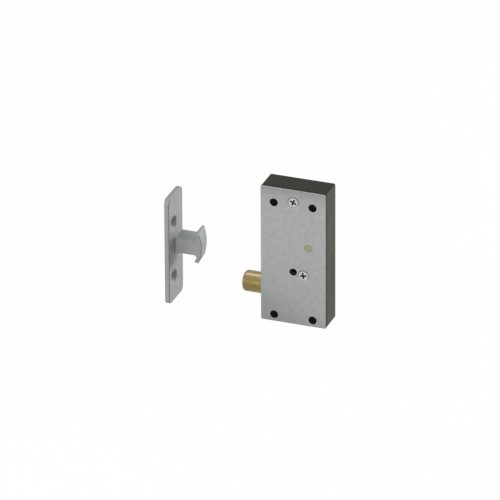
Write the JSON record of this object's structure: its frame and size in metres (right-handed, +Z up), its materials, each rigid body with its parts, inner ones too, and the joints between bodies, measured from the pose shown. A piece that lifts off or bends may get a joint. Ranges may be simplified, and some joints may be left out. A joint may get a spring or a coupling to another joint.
{
  "type": "cabinet slam latch with strike",
  "caption": "Surface-mounted cabinet slam latch: flat metal case, sprung brass kicker, hidden catch released by a key hub, and a crescent-headed strike.",
  "frame": {"origin": "centre of the case's back face, the face that is screwed to the cabinet", "axes": "+X is the way the door closes, from the strike towards the case; +Y out of the case's back face into the cabinet side; +Z up along the case"},
  "size_m": [0.0901, 0.0215, 0.08],
  "materials": {
    "case_zinc": "dark grey plated die casting, satin",
    "cover_steel": "satin grey plate",
    "screw_steel": "bright zinc plate",
    "brass": "turned brass",
    "steel": "plain bright steel",
    "spring_steel": "drawn spring wire",
    "acetal": "natural moulded acetal",
    "rubber": "black rubber",
    "strike_grey": "light grey matt coat on a casting"
  },
  "bodies": {
    "case": {"housing": "case_zinc", "cover_plate": "cover_steel", "cover_screws": "screw_steel", "pivot_pin": "brass", "pivot_washers": "steel", "catch_spring": "spring_steel", "spring_anchor_pin": "steel", "stop_pins": "steel", "stop_sleeves": "rubber", "hub_washer": "steel", "kicker_bush": "acetal", "buffer_pads": "rubber", "kicker_spring": "spring_steel", "spring_guide_pin": "steel", "spring_seat": "steel"},
    "kicker": {"kicker": "brass", "kicker_plate": "steel", "kicker_clip": "spring_steel"},
    "catch": {"catch_lever": "steel"},
    "hub": {"release_hub": "steel", "crank_pin": "steel"},
    "strike": {"strike": "strike_grey"}
  },
  "joints": [
    {"name": "kicker_push", "type": "slide", "parent": "case", "child": "kicker", "axis": [1, 0, 0], "range_m": [0, 0.0093], "stiffness_N_per_m": 1160, "springref_m": -0.005, "deforming": ["kicker_spring"]},
    {"name": "catch_lift", "type": "hinge", "parent": "case", "child": "catch", "pos_m": [0.0086, -0.0079, 0.0067], "axis": [0, 1, 0], "range_deg": [0, 15], "stiffness_Nm_per_rad": 0.02, "springref_deg": -34.38, "deforming": ["catch_spring"]},
    {"name": "hub_turn", "type": "hinge", "parent": "case", "child": "hub", "pos_m": [0, -0.0079, -0.0088], "axis": [0, 1, 0], "range_deg": [-40.2, 0]},
    {"name": "strike_travel", "type": "slide", "parent": "kicker", "child": "strike", "axis": [1, 0, 0], "range_m": [0, 0.03825]}
  ],
  "couplings": [
    {"joint": "hub_turn", "follows": "catch_lift", "ratio": -2.6753}
  ]
}
